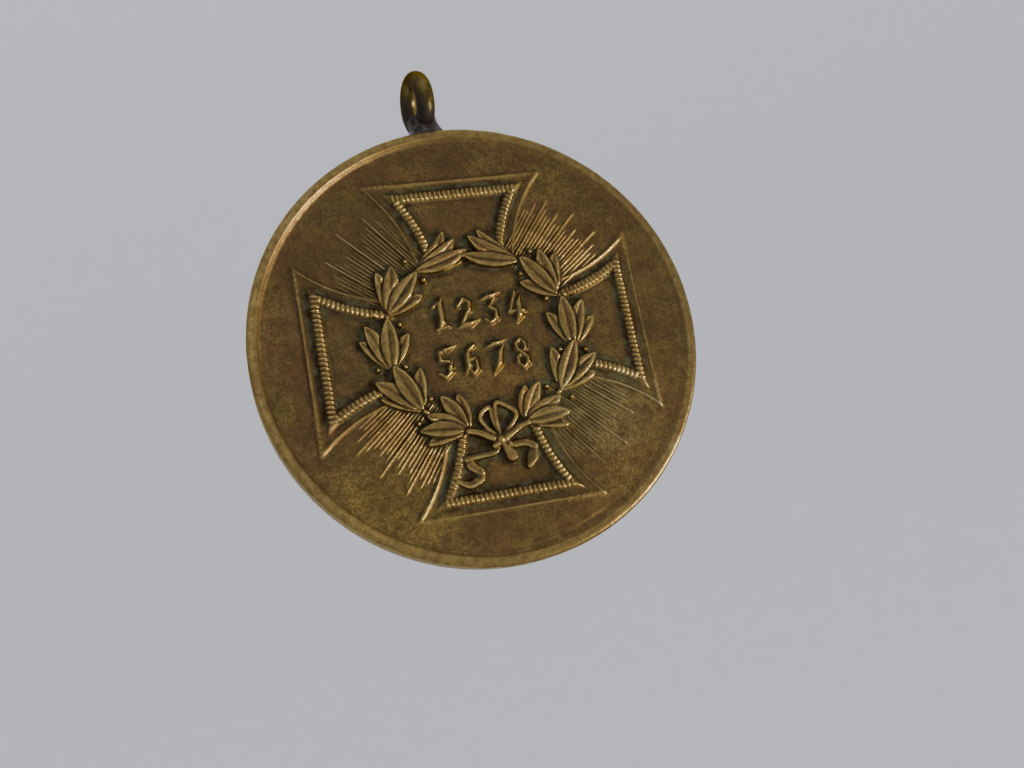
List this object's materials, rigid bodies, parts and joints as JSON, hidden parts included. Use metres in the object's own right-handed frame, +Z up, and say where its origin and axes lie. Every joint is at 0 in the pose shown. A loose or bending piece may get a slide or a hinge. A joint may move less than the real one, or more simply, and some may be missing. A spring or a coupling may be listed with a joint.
{
  "type": "service medal",
  "caption": "Round struck bronze medal with a raised cross, laurel wreath and rays, hung from a fixed round-wire ring.",
  "frame": {"origin": "centre of the suspension ring's eye, at mid-thickness of the disc", "axes": "+Z up from the disc's centre through the ring, -Y the way the obverse faces, +X to the right as the obverse is seen"},
  "size_m": [0.029, 0.0044, 0.0337],
  "materials": {
    "bronze": "satin",
    "ring_wire": "satin",
    "solder": "satin"
  },
  "bodies": {
    "root": {"struck_disc": "bronze", "suspension_ring": "ring_wire", "solder_joint": "solder", "obverse_bead_border_left": "bronze", "obverse_bead_border_lower": "bronze", "obverse_bead_border_right": "bronze", "obverse_bead_border_upper": "bronze", "obverse_bow": "bronze", "obverse_cross_outline": "bronze", "obverse_numerals_lower": "bronze", "obverse_numerals_upper": "bronze", "obverse_rays_lower_left": "bronze", "obverse_rays_lower_right": "bronze", "obverse_rays_upper_left": "bronze", "obverse_rays_upper_right": "bronze", "obverse_wreath_left": "bronze", "obverse_wreath_right": "bronze", "reverse_bow": "bronze", "reverse_wreath_left": "bronze", "reverse_wreath_right": "bronze"}
  },
  "joints": []
}
